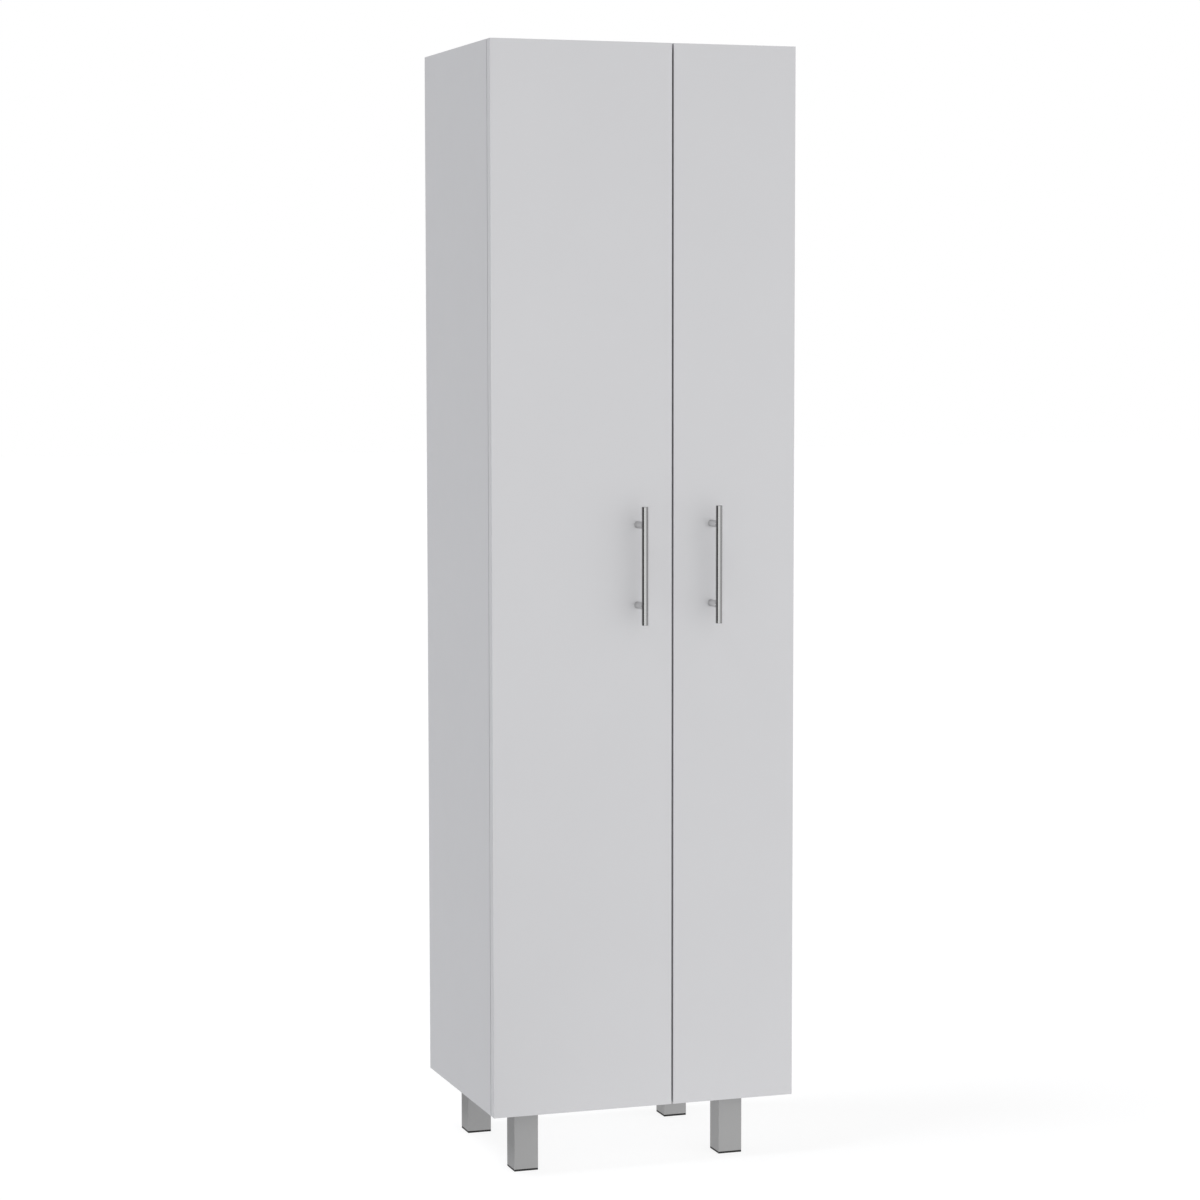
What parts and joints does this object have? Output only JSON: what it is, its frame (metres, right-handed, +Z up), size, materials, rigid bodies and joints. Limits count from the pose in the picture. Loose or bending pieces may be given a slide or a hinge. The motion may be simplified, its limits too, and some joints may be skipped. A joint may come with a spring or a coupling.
{
  "type": "broom cupboard",
  "caption": "Tall narrow broom cupboard on square metal legs, with a wide and a narrow hinged door, bar handles, shelves and a full-height space for brooms.",
  "frame": {"origin": "on the floor, under the middle of the bounding box of the cupboard with its handles", "axes": "+Z up; -Y is the front, where the doors and handles are; +X is to the right of someone who faces the doors"},
  "size_m": [0.51, 0.416, 1.8],
  "materials": {
    "white_melamine": "pale grey-white melamine face on particle board, smooth satin",
    "white_hardboard": "white-coated hardboard, slightly textured",
    "leg_metal": "satin silver-grey coating on square steel tube",
    "cap_plastic": "black moulded plastic",
    "handle_steel": "brushed stainless steel",
    "nickel_steel": "nickel-plated pressed steel"
  },
  "bodies": {
    "carcass": {"left_side_panel": "white_melamine", "right_side_panel": "white_melamine", "top_panel": "white_melamine", "bottom_panel": "white_melamine", "divider_panel": "white_melamine", "back_panel": "white_hardboard", "shelf_1": "white_melamine", "shelf_2": "white_melamine", "shelf_3": "white_melamine", "shelf_4": "white_melamine", "shelf_support_left_front": "nickel_steel", "shelf_support_left_rear": "nickel_steel", "shelf_support_right_front": "nickel_steel", "shelf_support_right_rear": "nickel_steel", "leg_front_left": "leg_metal", "leg_front_right": "leg_metal", "leg_rear_left": "leg_metal", "leg_rear_right": "leg_metal", "leg_cap_front_left": "cap_plastic", "leg_cap_front_right": "cap_plastic", "leg_cap_rear_left": "cap_plastic", "leg_cap_rear_right": "cap_plastic", "left_hinge_lower_arm": "nickel_steel", "left_hinge_lower_plate": "nickel_steel", "left_hinge_middle_arm": "nickel_steel", "left_hinge_middle_plate": "nickel_steel", "left_hinge_upper_arm": "nickel_steel", "left_hinge_upper_plate": "nickel_steel", "right_hinge_lower_arm": "nickel_steel", "right_hinge_lower_plate": "nickel_steel", "right_hinge_middle_arm": "nickel_steel", "right_hinge_middle_plate": "nickel_steel", "right_hinge_upper_arm": "nickel_steel", "right_hinge_upper_plate": "nickel_steel"},
    "left_leaf": {"left_door": "white_melamine", "left_handle_bar": "handle_steel", "left_handle_post_upper": "handle_steel", "left_handle_post_lower": "handle_steel", "left_handle_screw_upper": "nickel_steel", "left_handle_screw_lower": "nickel_steel", "left_hinge_lower_cup": "nickel_steel", "left_hinge_lower_pin": "nickel_steel", "left_hinge_middle_cup": "nickel_steel", "left_hinge_middle_pin": "nickel_steel", "left_hinge_upper_cup": "nickel_steel", "left_hinge_upper_pin": "nickel_steel"},
    "right_leaf": {"right_door": "white_melamine", "right_handle_bar": "handle_steel", "right_handle_post_upper": "handle_steel", "right_handle_post_lower": "handle_steel", "right_handle_screw_upper": "nickel_steel", "right_handle_screw_lower": "nickel_steel", "right_hinge_lower_cup": "nickel_steel", "right_hinge_lower_pin": "nickel_steel", "right_hinge_middle_cup": "nickel_steel", "right_hinge_middle_pin": "nickel_steel", "right_hinge_upper_cup": "nickel_steel", "right_hinge_upper_pin": "nickel_steel"}
  },
  "joints": [
    {"name": "left_door_hinge", "type": "hinge", "parent": "carcass", "child": "left_leaf", "pos_m": [-0.2486, -0.1608, 0.95], "axis": [0, 0, -1], "range_deg": [0, 95]},
    {"name": "right_door_hinge", "type": "hinge", "parent": "carcass", "child": "right_leaf", "pos_m": [0.2486, -0.1608, 0.95], "axis": [0, 0, 1], "range_deg": [0, 95]}
  ]
}
